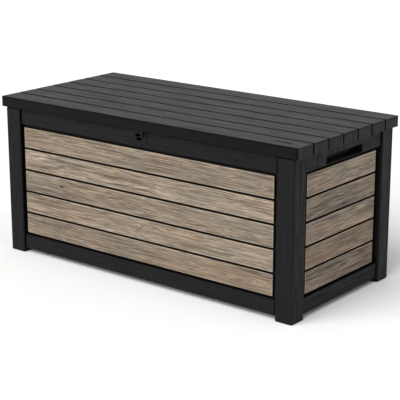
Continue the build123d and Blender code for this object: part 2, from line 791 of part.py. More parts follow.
def head_bracket_x():
    """Middle of the head bracket's plate, outboard of the strut."""
    return strut_x + eye_width / 2 + stud_washer_gap + bracket_plate / 2


def strut_plane(side, distance):
    """Plane across a strut, at a distance from its foot pivot; its normal points up the strut."""
    lean = radians(strut_lean)
    foot = Vector(side * strut_x, box_pivot_y, box_pivot_z)
    along = Vector(0, -sin(lean), cos(lean))
    return Plane(origin=foot + along * distance, x_dir=(1, 0, 0), z_dir=along)


def make_strut_brackets(name):
    """Foot bracket on the end wall and head bracket under the lid, each with the stud it carries."""
    side = sides[name]
    inner_face = half_x - panel_depth
    stud_tip = strut_x - eye_width / 2 - stud_end
    with BuildPart() as foot:
        with BuildSketch(Plane.YZ.offset(side * inner_face)):
            with Locations((box_pivot_y, box_pivot_z)):
                RectangleRounded(bracket_width - rib, bracket_length, stud_radius)
            with Locations(*foot_bracket_screws()):
                Circle(screw_hole_radius, mode=Mode.SUBTRACT)
        extrude(amount=-side * bracket_plate)
        with BuildSketch(Plane.YZ.offset(side * (inner_face - bracket_plate))):
            with Locations((box_pivot_y, box_pivot_z)):
                Circle(stud_washer_radius)
        shoulder = inner_face - bracket_plate - strut_x - eye_width / 2 - stud_washer_gap
        extrude(amount=-side * shoulder)
        with BuildSketch(Plane.YZ.offset(side * (inner_face - bracket_plate - shoulder))):
            with Locations((box_pivot_y, box_pivot_z)):
                Circle(stud_radius)
        extrude(amount=-side * (inner_face - bracket_plate - shoulder - stud_tip))
    save(foot, f"strut_foot_{name}")

    tab_outer = strut_x + eye_width / 2 + stud_washer_gap + bracket_plate
    with BuildPart() as head:
        with BuildSketch(Plane.XY.offset(liner_bottom)):
            with Locations((side * head_bracket_x(), lid_pivot_y)):
                Rectangle(head_base_width, bracket_length)
            with Locations(*[place for place in head_bracket_screws() if place[0] * side > 0]):
                Circle(screw_hole_radius, mode=Mode.SUBTRACT)
        extrude(amount=-bracket_plate)
        with BuildSketch(Plane.YZ.offset(side * tab_outer)):
            with Locations((lid_pivot_y, lid_pivot_z)):
                Circle(stud_washer_radius)
            with Locations((lid_pivot_y, (lid_pivot_z + liner_bottom) / 2)):
                Rectangle(2 * stud_washer_radius, liner_bottom - lid_pivot_z)
        extrude(amount=-side * bracket_plate)
        with BuildSketch(Plane.YZ.offset(side * (tab_outer - bracket_plate))):
            with Locations((lid_pivot_y, lid_pivot_z)):
                Circle(stud_radius)
        extrude(amount=-side * (tab_outer - bracket_plate - stud_tip))
    save(head, f"strut_head_{name}")


def make_strut_tube(name):
    """Lower half of a gas strut: an eye on the foot stud, a neck and the pressure tube."""
    side = sides[name]
    bore_start = eye_radius + eye_width + strut_tube_wall
    foot_pivot = [(box_pivot_y, box_pivot_z)]
    with BuildPart() as tube:
        with BuildSketch(strut_plane(side, 0)):
            Circle(eye_neck_radius)
        extrude(amount=bore_start)
        with BuildSketch(strut_plane(side, eye_radius + eye_width / 2)):
            Circle(strut_tube_radius)
        extrude(amount=tube_end - eye_radius - eye_width / 2)
        fillet(tube.edges().filter_by(GeomType.CIRCLE).sort_by(Axis.Z)[-1], radius=strut_tube_wall)
        with BuildSketch(strut_plane(side, bore_start)):
            Circle(strut_tube_radius - strut_tube_wall)
        extrude(amount=tube_end - strut_cap - bore_start, mode=Mode.SUBTRACT)
        with BuildSketch(strut_plane(side, tube_end - strut_cap)):
            Circle(strut_rod_radius + strut_seal_clearance)
        extrude(amount=strut_cap, mode=Mode.SUBTRACT)
        extrude(discs(eye_plane(side), foot_pivot, eye_radius), amount=eye_width)
        extrude(discs(eye_plane(side), foot_pivot, eye_bore), amount=eye_width, mode=Mode.SUBTRACT)
    save(tube, f"strut_tube_{name}")


def make_strut_rod(name):
    """Upper half of a gas strut: the piston, the rod and an eye on the lid's stud."""
    side = sides[name]
    head_pivot = [(lid_pivot_y, lid_pivot_z)]
    with BuildPart() as rod:
        with BuildSketch(strut_plane(side, piston_start)):
            Circle(strut_tube_radius - strut_tube_wall - piston_clearance)
        extrude(amount=piston_length)
        with BuildSketch(strut_plane(side, piston_start)):
            Circle(strut_rod_radius)
        extrude(amount=strut_length - piston_start)
        with BuildSketch(strut_plane(side, strut_length - eye_radius - stud_end)):
            Circle(eye_neck_radius)
        extrude(amount=eye_radius)
        extrude(discs(eye_plane(side), head_pivot, eye_radius), amount=eye_width)
        extrude(discs(eye_plane(side), head_pivot, eye_bore), amount=eye_width, mode=Mode.SUBTRACT)
    save(rod, f"strut_rod_{name}")


def eye_plane(side):
    """Plane on the side of a strut's eyes from which they are extruded along X."""
    return Plane.YZ.offset(side * strut_x - eye_width / 2)


# ---------------------------------------------------------------- screws
def screw(plane, place, length):
    """One round-head screw: its head's underside on the plane, its shank along the normal."""
    with BuildPart() as piece:
        extrude(discs(plane, [place], screw_radius), amount=length)
        extrude(discs(plane, [place], screw_head_radius), amount=-screw_head)
        head_top = piece.faces().sort_by(Axis(plane.origin, plane.z_dir))[0]
        fillet(head_top.edges(), radius=screw_head / 2)
    return piece.part


def make_screws(name, sets):
    """A node of equal screws, from sets of a plane, the places on it and the shanks' length."""
    with BuildPart() as screws:
        for plane, places, length in sets:
            for place in places:
                add(screw(plane, place, length))
    save(screws, name)


def lid_screw_places():
    """Centres of the screws that hold the liner to the bosses of the lid shell."""
    middle = (lid_screw_columns - 1) / 2
    columns = [(index - middle) * lid_screw_pitch for index in range(lid_screw_columns)]
    return [(x, side * lid_screw_y) for x in columns for side in (-1, 1)]


def strut_screw_set(side):
    """Plane on the foot bracket of one strut and the places of its screws in that plane."""
    plane = Plane(
        origin=(side * (half_x - panel_depth - bracket_plate), 0, 0),
        x_dir=(0, side, 0),
        z_dir=(side, 0, 0),
    )
    return plane, [(side * y, z) for y, z in foot_bracket_screws()], screw_grip


# ---------------------------------------------------------------- build everything
for front_back, side_y in (("front", -1), ("back", 1)):
    for left_right, side_x in sides.items():
        make_post(f"{front_back}_{left_right}_post", side_x, side_y)
make_foot_pads()
make_floor()
for wall_name in walls:
    make_panel(wall_name)
    for board_number in range(1, boards_per_wall + 1):
        make_board(wall_name, board_number)

make_lid_shell()
make_badge()
make_lid_liner()
make_lid_beam("front", -1)
make_lid_beam("back", 1)
make_lid_buffers()
make_lock_plate()
make_lock_tongue()
for hinge_name, hinge_middle in hinge_places.items():
    make_hinge(hinge_name, hinge_middle)
make_hinge_pins()
for side_name in sides:
    make_handle(side_name)
    make_strut_brackets(side_name)
    make_strut_tube(side_name)
    make_strut_rod(side_name)

under_liner = Plane.XY.offset(liner_bottom)
under_fittings = Plane.XY.offset(liner_bottom - hinge_plate)
over_hinge_bases = Plane(origin=(0, 0, rim + hinge_plate), x_dir=(1, 0, 0), z_dir=(0, 0, -1))
flipped_places = [(x, -y) for x, y in hinge_base_screws()]
make_screws("lid_screws", [(under_liner, lid_screw_places(), lid_screw_length)])
make_screws("fitting_screws", [(under_fittings, hinge_leaf_screws() + head_bracket_screws(), screw_grip)])
make_screws("hinge_screws", [(over_hinge_bases, flipped_places, screw_grip)])
make_screws("strut_screws", [strut_screw_set(side) for side in sides.values()])
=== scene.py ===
import math

import bmesh
import bpy
from bpy.props import FloatProperty, FloatVectorProperty, IntProperty, PointerProperty
from mathutils import Matrix, Vector


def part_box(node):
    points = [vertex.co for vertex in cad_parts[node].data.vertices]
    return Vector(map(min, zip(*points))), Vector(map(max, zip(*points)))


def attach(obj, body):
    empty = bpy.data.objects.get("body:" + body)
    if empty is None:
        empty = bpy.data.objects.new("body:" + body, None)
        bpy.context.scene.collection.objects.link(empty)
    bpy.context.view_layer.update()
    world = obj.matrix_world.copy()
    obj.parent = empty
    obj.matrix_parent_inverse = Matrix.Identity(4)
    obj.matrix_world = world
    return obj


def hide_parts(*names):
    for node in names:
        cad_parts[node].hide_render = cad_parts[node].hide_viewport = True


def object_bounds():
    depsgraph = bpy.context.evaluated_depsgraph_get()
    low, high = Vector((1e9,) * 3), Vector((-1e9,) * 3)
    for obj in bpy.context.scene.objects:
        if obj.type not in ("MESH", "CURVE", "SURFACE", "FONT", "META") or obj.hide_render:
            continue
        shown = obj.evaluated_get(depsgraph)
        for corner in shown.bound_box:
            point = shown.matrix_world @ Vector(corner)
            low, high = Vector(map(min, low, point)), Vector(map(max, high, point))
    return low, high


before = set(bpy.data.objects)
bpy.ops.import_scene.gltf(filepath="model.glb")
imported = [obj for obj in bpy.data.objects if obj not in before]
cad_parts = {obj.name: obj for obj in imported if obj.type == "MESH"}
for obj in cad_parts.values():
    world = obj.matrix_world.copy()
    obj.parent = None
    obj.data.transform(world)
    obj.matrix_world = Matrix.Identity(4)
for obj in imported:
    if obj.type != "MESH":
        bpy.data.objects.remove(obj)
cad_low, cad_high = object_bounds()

bl_info = {
    "name": "Deck Storage Box",
    "version": (1, 0, 0),
    "blender": (4, 5, 0),
    "location": "3D View > Sidebar > Deck Box",
    "description": "Clads, finishes and lights a deck storage box on its packed frame",
    "category": "Add Mesh",
}

WALLS = ("front", "back", "left", "right")
ROWS = range(1, 6)
TURNS = {"front": 0.0, "right": 90.0, "back": 180.0, "left": 270.0}

# How light and how warm each board of a wall is, from the top down; each wall starts further along.
ROW_TONES = (0.94, 1.22, 0.95, 1.06, 0.86)
ROW_WARMTHS = (0.4, 0.1, 0.25, 0.55, 1.0)
WALL_SHIFT = 2
SEED_STEP = Vector((1.73, 0.61, 2.29))

# Distances in metres.
TOUCHING = 1e-6
CREVICE_REACH = 0.025
ORDER_DIGITS = 6

# Colours, in linear light, that aren't settings. The three blacks are painted shade: in crevices, in the
# lid's seams (partly dirt too) and in the gaps between boards.
CREVICE_SHADE_BLACK = (0.0008, 0.0008, 0.0008)
SEAM_DIRT_AND_SHADE_BLACK = (0.001, 0.001, 0.001)
GAP_SHADE_BLACK = (0.0015, 0.001, 0.001)
DULLED_STEEL = (0.3, 0.3, 0.3)
RUBBER_BLOOM = (0.05, 0.048, 0.045)

# Studio: where the lamps and the camera stand, in metres, and how broad the lamps look, in degrees.
KEY_STAND = (-0.5, -4.0, 3.7)
KEY_SPREAD = 60.0
SIDE_STAND = (4.0, 1.0, 2.4)
SIDE_SPREAD = 50.0
LAMP_TARGET = (0.0, 0.0, 0.3)
CAMERA_STAND = (3.3234, -4.1450, 1.8092)
CAMERA_DOWN = 0.28
CAMERA_TURN = 0.6704
SENSOR_WIDTH = 36.0
CAMERA_REACH = 200.0
FLOOR_SQUARES = 8


# ------------------------------------------------------------ sizes and colours a user may change
def colour(name, about, value):
    """A colour setting, in linear light."""
    return FloatVectorProperty(
        name=name, description=about, subtype="COLOR", size=3, min=0.0, max=1.0, default=value
    )


def length(name, about, value):
    """A size setting, in metres."""
    return FloatProperty(name=name, description=about, unit="LENGTH", min=0.0, default=value, precision=5)


def share(name, about, value, top=1.0):
    """A setting between nothing and a top value."""
    return FloatProperty(name=name, description=about, subtype="FACTOR", min=0.0, max=top, default=value)


class DeckBoardSettings(bpy.types.PropertyGroup):
    """Shape and weathered finish of the cladding boards."""

    edge_radius: length("Edge Radius", "Rounding along the edges of a board", 0.0014)
    worn_band: length("Worn Band", "Width of the paler band along a board's edges", 0.0034)
    wall: length("Wall", "Thickness of a board's face and sides", 0.003)
    streak_length: length("Streak Length", "Usual length of a streak of grain", 0.21)
    streak_width: length("Streak Width", "Usual width of a streak of grain", 0.0062)
    grain_depth: length("Grain Depth", "Depth of the moulded grain", 0.0006)
    tan: colour("Tan", "Main colour of the boards", (0.25, 0.186, 0.13))
    umber: colour("Umber", "Colour of the dark streaks", (0.044, 0.032, 0.023))
    bleached: colour("Bleached", "Colour of the pale streaks and worn edges", (0.47, 0.395, 0.31))
    rose: colour("Rose", "Warm colour that drifts over the boards", (0.275, 0.187, 0.122))
    moss: colour("Moss", "Cool grey-green that drifts over the boards", (0.15, 0.139, 0.112))
    knot: colour("Knot", "Colour of the knots", (0.02, 0.015, 0.011))
    seed: IntProperty(name="Seed", description="Seed of the first board's grain", default=3, min=0)


class DeckResinSettings(bpy.types.PropertyGroup):
    """Finish of the dark moulded resin."""

    charcoal: colour("Charcoal", "Colour of posts, rails and handles", (0.0062, 0.0062, 0.0066))
    skirt: colour("Skirt", "Colour of the upright faces of the lid", (0.0095, 0.0094, 0.0095))
    # The lid's tops are painted lighter than its upright faces: painted light where the tops catch light.
    lid_grey: colour("Lid Grey", "Colour of the lid's planks", (0.047, 0.046, 0.0455))
    scuffed: colour("Scuffed", "Colour of rubbed edges", (0.06, 0.059, 0.058))
    dust: colour("Dust", "Colour of dust that settles on top faces", (0.22, 0.20, 0.175))
    inner: colour("Inner", "Colour of the liner and the floor", (0.013, 0.013, 0.0135))
    emboss_length: length("Emboss Length", "Usual length of an embossed streak", 0.22)
    emboss_width: length("Emboss Width", "Usual width of an embossed streak", 0.0065)
    emboss_depth: length("Emboss Depth", "Depth of the embossed grain", 0.0007)
    planks: IntProperty(name="Planks", description="Planks moulded across the lid", default=7, min=1)
    # The seam band is partly dirt and partly painted shade in and beside the grooves.
    seam_width: length("Seam Width", "Width of the dirt that lines a seam", 0.0135)
    rub_width: length("Rub Width", "How far an edge is rubbed pale", 0.0022)


class DeckFittingSettings(bpy.types.PropertyGroup):
    """Finish of the metal and rubber fittings."""

    zinc: colour("Zinc", "Colour of the plated brackets and hinges", (0.56, 0.57, 0.58))
    steel: colour("Steel", "Colour of screws and pins", (0.62, 0.62, 0.61))
    chrome: colour("Chrome", "Colour of the strut rods", (0.72, 0.73, 0.74))
    paint: colour("Paint", "Colour of the painted strut tubes", (0.012, 0.012, 0.013))
    rubber: colour("Rubber", "Colour of the buffers and feet", (0.014, 0.014, 0.014))
    badge: colour("Badge", "Colour of the blank badge", (0.006, 0.006, 0.0062))


class DeckStudioSettings(bpy.types.PropertyGroup):
    """Floor, lamps and camera."""

    floor_size: length("Floor Size", "Side of the square floor", 80.0)
    floor_tone: colour("Floor Tone", "Colour of the floor", (0.93, 0.93, 0.93))
    sky: share("Room Light", "Strength of the even light from all round", 0.5, 4.0)
    key: share("Key Light", "Strength of the broad lamp from the front", 3.1, 20.0)
    rim: share("Side Light", "Strength of the lamp from the far side", 0.3, 20.0)
    lens: FloatProperty(name="Lens", description="Focal length of the camera in mm", default=116.47, min=10.0)


# ------------------------------------------------------------ small helpers for node trees
def feed(tree, socket, value):
    """Link a socket to another one, or set its own value."""
    if isinstance(value, bpy.types.NodeSocket):
        tree.links.new(value, socket)
    elif value is not None:
        socket.default_value = (*value, 1.0) if socket.type == "RGBA" and len(value) == 3 else value


def add(tree, kind, feeds=(), **settings):
    """Add a node, set its choices and feed its inputs, given by name or by number."""
    made = tree.nodes.new(kind)
    for name, value in settings.items():
        setattr(made, name, value)
    for key, value in dict(feeds).items():
        feed(tree, made.inputs[key], value)
    return made


def sums(tree, operation, first, second=None, third=None, clamp=False):
    """One step of arithmetic."""
    feeds = {n: v for n, v in enumerate((first, second, third)) if v is not None}
    return add(tree, "ShaderNodeMath", feeds, operation=operation, use_clamp=clamp).outputs[0]


def moved(tree, operation, first, second):
    """One step of vector arithmetic."""
    return add(tree, "ShaderNodeVectorMath", {0: first, 1: second}, operation=operation).outputs[0]


def ramp(tree, value, low, high, to_low=0.0, to_high=1.0):
    """A smooth step of a value between two limits."""
    feeds = {0: value, 1: low, 2: high, 3: to_low, 4: to_high}
    return add(tree, "ShaderNodeMapRange", feeds, interpolation_type="SMOOTHSTEP").outputs[0]


def noise(tree, vector, scale=1.0, detail=2.0, rough=0.5):
    """Soft noise between 0 and 1."""
    feeds = {"Vector": vector, "Scale": scale, "Detail": detail, "Roughness": rough}
    return add(tree, "ShaderNodeTexNoise", feeds).outputs[0]


def blend(tree, factor, first, second, how="MIX"):
    """Mix two colours."""
    feeds = {0: factor, 6: first, 7: second}
    return add(tree, "ShaderNodeMix", feeds, data_type="RGBA", blend_type=how).outputs[2]


def axes(tree, x, y, z):
    """A vector from three values."""
    return add(tree, "ShaderNodeCombineXYZ", {0: x, 1: y, 2: z}).outputs[0]


def apart(tree, vector):
    """The three values of a vector."""
    return add(tree, "ShaderNodeSeparateXYZ", {0: vector}).outputs


SOCKETS = {"value": "NodeSocketFloat", "vector": "NodeSocketVector", "colour": "NodeSocketColor"}


def open_group(name, takes, gives):
    """A new node group with its named inputs and outputs."""
    tree = bpy.data.node_groups.new(name, "ShaderNodeTree")
    for label, (kind, value) in takes.items():
        socket = tree.interface.new_socket(label, in_out="INPUT", socket_type=SOCKETS[kind])
        socket.default_value = value
    for label, kind in gives.items():
        tree.interface.new_socket(label, in_out="OUTPUT", socket_type=SOCKETS[kind])
    return tree, tree.nodes.new("NodeGroupInput").outputs, tree.nodes.new("NodeGroupOutput").inputs


def use(tree, group, **feeds):
    """Place a node group in a tree; feeds are its inputs, with _ for each space."""
    node = add(tree, "ShaderNodeGroup", node_tree=group)
    for name, value in feeds.items():
        feed(tree, node.inputs[name.replace("_", " ")], value)
    return node.outputs


# ------------------------------------------------------------ effects that several finishes share
def make_wood_grain():
    """Streaks along the first axis of a place, with broad bands, short pores and a height."""
    takes = {
        "Place": ("vector", (0, 0, 0)),
        "Streak Length": ("value", 0.15),
        "Streak Width": ("value", 0.008),
    }
    gives = dict.fromkeys(("Streaks", "Hairs", "Bands", "Pores", "Height"), "value")
    tree, taken, given = open_group("Wood Grain", takes, gives)
    size = axes(tree, taken["Streak Length"], taken["Streak Width"], taken["Streak Width"])
    scaled = moved(tree, "DIVIDE", taken["Place"], size)
    wander = noise(tree, moved(tree, "MULTIPLY", scaled, (0.55, 0.12, 0.12)), detail=1.0)
    wander = sums(tree, "MULTIPLY_ADD", wander, 4.4, -2.2)
    waved = moved(tree, "ADD", scaled, axes(tree, 0.0, wander, wander))
    streaks = noise(tree, waved, detail=4.0, rough=0.58)
    hairs = noise(tree, moved(tree, "MULTIPLY", waved, (1.6, 3.1, 3.1)), detail=2.0, rough=0.6)
    bands = noise(tree, moved(tree, "MULTIPLY", waved, (0.28, 0.2, 0.2)), detail=2.0)
    pores = noise(tree, moved(tree, "MULTIPLY", waved, (3.4, 1.25, 1.25)), detail=2.0, rough=0.62)
    feed(tree, given["Streaks"], ramp(tree, streaks, 0.35, 0.65))
    feed(tree, given["Hairs"], ramp(tree, hairs, 0.36, 0.64))
    feed(tree, given["Bands"], ramp(tree, bands, 0.36, 0.64))
    feed(tree, given["Pores"], ramp(tree, pores, 0.6, 0.72))
    height = sums(tree, "MULTIPLY_ADD", hairs, 0.5, streaks)
    feed(tree, given["Height"], sums(tree, "MULTIPLY_ADD", ramp(tree, pores, 0.58, 0.72), -0.35, height))
    return tree


def make_knots():
    """Sparse oval knots drawn out along the first axis of a place, and the rings round them."""
    takes = {"Place": ("vector", (0, 0, 0)), "Spacing": ("value", 0.24), "Share": ("value", 0.3)}
    tree, taken, given = open_group("Board Knots", takes, {"Knots": "value", "Rings": "value"})
    spacing = axes(tree, taken["Spacing"], sums(tree, "MULTIPLY", taken["Spacing"], 4.0),
                   sums(tree, "MULTIPLY", taken["Spacing"], 0.42))
    place = moved(tree, "DIVIDE", taken["Place"], spacing)
    wobble = noise(tree, place, scale=9.0, detail=2.0)
    cells = add(tree, "ShaderNodeTexVoronoi", {"Vector": place, "Scale": 1.0, "Randomness": 0.9})
    reach = sums(tree, "MULTIPLY_ADD", wobble, 0.05, cells.outputs["Distance"])
    kept = sums(tree, "LESS_THAN", apart(tree, cells.outputs["Color"])[0], taken["Share"])
    core = ramp(tree, reach, 0.055, 0.095, 1.0, 0.0)
    halo = ramp(tree, reach, 0.09, 0.24, 1.0, 0.0)
    rings = sums(tree, "SINE", sums(tree, "MULTIPLY", reach, 110.0))
    rings = sums(tree, "MULTIPLY", sums(tree, "MULTIPLY_ADD", rings, 0.5, 0.5), halo)
    feed(tree, given["Knots"], sums(tree, "MULTIPLY", core, kept))
    feed(tree, given["Rings"], sums(tree, "MULTIPLY", rings, kept))
    return tree


def make_edge_rub():
    """Mask of outer edges that are rubbed in patches."""
    takes = {"Place": ("vector", (0, 0, 0)), "Width": ("value", 0.002), "Patch Size": ("value", 0.05)}
    tree, taken, given = open_group("Edge Rub", takes, {"Rub": "value"})
    round_edge = add(tree, "ShaderNodeBevel", {"Radius": taken["Width"]}, samples=4).outputs[0]
    flat = add(tree, "ShaderNodeNewGeometry").outputs["Normal"]
    facing = add(tree, "ShaderNodeVectorMath", {0: round_edge, 1: flat}, operation="DOT_PRODUCT")
    edge = ramp(tree, facing.outputs["Value"], 0.75, 0.995, 1.0, 0.0)
    patches = noise(tree, moved(tree, "DIVIDE", taken["Place"], axes(
        tree, taken["Patch Size"], taken["Patch Size"], taken["Patch Size"])), detail=3.0)
    feed(tree, given["Rub"], sums(tree, "MULTIPLY", edge, ramp(tree, patches, 0.38, 0.62, 0.15, 1.0)))
    return tree


def make_settled_dust():
    """Mask of dust that settles in patches on faces that point up."""
    takes = {"Place": ("vector", (0, 0, 0)), "Patch Size": ("value", 0.2)}
    tree, taken, given = open_group("Settled Dust", takes, dict.fromkeys(("Dust", "Drift", "Up"), "value"))
    up = apart(tree, add(tree, "ShaderNodeNewGeometry").outputs["Normal"])[2]
    size = axes(tree, taken["Patch Size"], taken["Patch Size"], taken["Patch Size"])
    place = moved(tree, "DIVIDE", taken["Place"], size)
    drift = noise(tree, place, detail=3.0, rough=0.55)
    specks = noise(tree, place, scale=24.0, detail=2.0, rough=0.7)
    settled = sums(tree, "MULTIPLY", ramp(tree, up, 0.3, 0.95), ramp(tree, drift, 0.35, 0.7))
    feed(tree, given["Dust"], sums(tree, "MULTIPLY", settled, ramp(tree, specks, 0.3, 0.7, 0.4, 1.0)))
    feed(tree, given["Drift"], ramp(tree, drift, 0.3, 0.7))
    feed(tree, given["Up"], ramp(tree, up, 0.5, 0.98))
    return tree


def make_crevice_shade():
    """How open a spot is: nothing deep in a gap and one out on a face."""
    tree, taken, given = open_group("Crevice Shade", {"Reach": ("value", CREVICE_REACH)}, {"Open": "value"})
    shade = add(tree, "ShaderNodeAmbientOcclusion", {"Distance": taken["Reach"]}, samples=8)
    feed(tree, given["Open"], ramp(tree, shade.outputs["AO"], 0.45, 0.85))
    return tree


def make_seam_dirt_and_shade():
    """Mask of evenly spaced grooves that run along the width, where dirt gathers and painted shade lies."""
    takes = {"Place": ("vector", (0, 0, 0)), "Pitch": ("value", 0.1), "Groove Width": ("value", 0.006)}
    tree, taken, given = open_group("Seam Dirt And Shade", takes, {"Dirt And Shade": "value"})
    steps = sums(tree, "DIVIDE", apart(tree, taken["Place"])[1], taken["Pitch"])
    from_middle = sums(tree, "ABSOLUTE", sums(tree, "SUBTRACT", sums(tree, "FRACT", steps), 0.5))
    off = sums(tree, "SUBTRACT", 0.5, from_middle)
    away = sums(tree, "MULTIPLY", off, taken["Pitch"])
    half = sums(tree, "MULTIPLY", taken["Groove Width"], 0.5)
    feed(tree, given["Dirt And Shade"], sums(tree, "LESS_THAN", away, half))
    return tree


def make_moulded_skin():
    """Fine pebbled height of a spark-eroded mould, with a slow ripple."""
    takes = {"Place": ("vector", (0, 0, 0)), "Pebble Size": ("value", 0.0016)}
    tree, taken, given = open_group("Moulded Skin", takes, {"Height": "value", "Mottle": "value"})
    size = axes(tree, taken["Pebble Size"], taken["Pebble Size"], taken["Pebble Size"])
    place = moved(tree, "DIVIDE", taken["Place"], size)
    pebbles = noise(tree, place, detail=2.0, rough=0.6)
    mottle = noise(tree, place, scale=0.05, detail=3.0)
    feed(tree, given["Height"], sums(tree, "MULTIPLY_ADD", mottle, 0.6, pebbles))
    feed(tree, given["Mottle"], ramp(tree, mottle, 0.32, 0.68))
    return tree


GROUPS = {
    "Wood Grain": make_wood_grain,
    "Board Knots": make_knots,
    "Edge Rub": make_edge_rub,
    "Settled Dust": make_settled_dust,
    "Crevice Shade": make_crevice_shade,
    "Seam Dirt And Shade": make_seam_dirt_and_shade,
    "Moulded Skin": make_moulded_skin,
}


def shared(name):
    """A shared effect, built the first time it is asked for."""
    return bpy.data.node_groups.get(name) or GROUPS[name]()


# ------------------------------------------------------------ finishes
def new_finish(name, **plain):
    """A material with one Principled shader, whose plain values are set on its own sockets."""
    material = bpy.data.materials.new(name)
    material.use_nodes = True
    tree = material.node_tree
    tree.nodes.clear()
    shader = tree.nodes.new("ShaderNodeBsdfPrincipled")
    output = tree.nodes.new("ShaderNodeOutputMaterial")
    tree.links.new(shader.outputs[0], output.inputs["Surface"])
    for label, value in plain.items():
        feed(tree, shader.inputs[label.replace("_", " ")], value)
    return material, tree, shader.inputs


def relief(tree, shader, height, depth, strength=1.0):
    """Bump from a height."""
    bump = add(tree, "ShaderNodeBump", {"Strength": strength, "Distance": depth, "Height": height})
    feed(tree, shader["Normal"], bump.outputs["Normal"])


def object_place(tree):
    """Where a point is on the object, in metres."""
    return add(tree, "ShaderNodeTexCoord").outputs["Object"]


def crevice_shaded(tree, paint):
    """The same paint with painted shade: gone black where it lies deep between pieces."""
    spot = use(tree, shared("Crevice Shade"), Reach=CREVICE_REACH)
    return blend(tree, spot["Open"], CREVICE_SHADE_BLACK, paint)


def weathered_board(looks):
    """Weathered tan board: streaks, bands, pores, knots, drifting hues, bleached edges and painted shade down
    its sides into the gaps.
    """
    name = "Weathered Board"
    if name in bpy.data.materials:
        return bpy.data.materials[name]
    material, tree, shader = new_finish(name, Specular_IOR_Level=0.25)
    place = add(tree, "ShaderNodeAttribute", attribute_name="grain_place").outputs["Vector"]
    tone = add(tree, "ShaderNodeAttribute", attribute_name="board_tone").outputs["Fac"]
    warmth = add(tree, "ShaderNodeAttribute", attribute_name="board_warmth").outputs["Fac"]
    worn = add(tree, "ShaderNodeAttribute", attribute_name="worn").outputs["Fac"]
    sunk = add(tree, "ShaderNodeAttribute", attribute_name="sunk").outputs["Fac"]
    grain = use(tree, shared("Wood Grain"), Place=place, Streak_Length=looks.streak_length,
                Streak_Width=looks.streak_width)
    wide = use(tree, shared("Wood Grain"), Place=moved(tree, "ADD", place, (3.7, 1.3, 2.9)),
               Streak_Length=looks.streak_length * 1.7, Streak_Width=looks.streak_width * 3.2)
    knots = use(tree, shared("Board Knots"), Place=place)
    drift = use(tree, shared("Settled Dust"), Place=place, Patch_Size=0.17)
    paint = blend(tree, grain["Streaks"], looks.umber, looks.tan)
    paint = blend(tree, ramp(tree, wide["Streaks"], 0.0, 1.0, 0.0, 0.45), paint, looks.tan)
    paint = blend(tree, ramp(tree, wide["Streaks"], 0.0, 1.0, 0.3, 0.0), paint, looks.umber)
    rosy = sums(tree, "MULTIPLY", wide["Bands"], sums(tree, "MULTIPLY_ADD", warmth, 0.6, 0.2))
    paint = blend(tree, rosy, paint, looks.rose)
    paint = blend(tree, sums(tree, "MULTIPLY", drift["Drift"], 0.5), paint, looks.moss)
    flecks = sums(tree, "MULTIPLY_ADD", wide["Pores"], 0.8, grain["Hairs"])
    pale = sums(tree, "MULTIPLY", sums(tree, "MULTIPLY", flecks, grain["Streaks"]), 0.27)
    paint = blend(tree, pale, paint, looks.bleached)
    dark = sums(tree, "MULTIPLY", grain["Pores"], 0.6)
    paint = blend(tree, dark, paint, looks.umber)
    hairs = ramp(tree, grain["Hairs"], 0.0, 1.0, 0.78, 1.2)
    paint = blend(tree, 1.0, paint, axes(tree, hairs, hairs, hairs), "MULTIPLY")
    paint = blend(tree, 1.0, paint, axes(tree, tone, tone, tone), "MULTIPLY")
    paint = blend(tree, sums(tree, "MULTIPLY", knots["Rings"], 0.4), paint, looks.umber)
    paint = blend(tree, sums(tree, "MULTIPLY", knots["Knots"], 0.9), paint, looks.knot)
    edge = sums(tree, "MULTIPLY", ramp(tree, worn, 0.4, 1.0), ramp(tree, grain["Hairs"], 0.1, 0.9, 0.2, 0.6))
    paint = blend(tree, edge, paint, looks.bleached)
    # Painted shade: the board's sides go black where they run back into the gaps between boards.
    paint = blend(tree, ramp(tree, sunk, 0.05, 0.6), paint, GAP_SHADE_BLACK)
    feed(tree, shader["Base Color"], paint)
    feed(tree, shader["Roughness"], ramp(tree, grain["Streaks"], 0.0, 1.0, 0.78, 0.6))
    height = sums(tree, "MULTIPLY_ADD", knots["Knots"], -0.5, grain["Height"])
    relief(tree, shader, height, looks.grain_depth, 0.8)
    return material


def grain_run(tree, run):
    """The object's place, turned so that its first axis lies along the embossed grain."""
    x, y, z = apart(tree, object_place(tree))
    if run == "width":
        return axes(tree, x, y, z)
    if run == "depth":
        return axes(tree, y, x, z)
    if run == "height":
        return axes(tree, z, x, y)
    across = apart(tree, add(tree, "ShaderNodeNewGeometry").outputs["Normal"])[0]
    end_face = sums(tree, "GREATER_THAN", sums(tree, "ABSOLUTE", across), 0.7)
    feeds = {0: end_face, 4: axes(tree, x, y, z), 5: axes(tree, z, y, x)}
    return add(tree, "ShaderNodeMix", feeds, data_type="VECTOR").outputs[1]


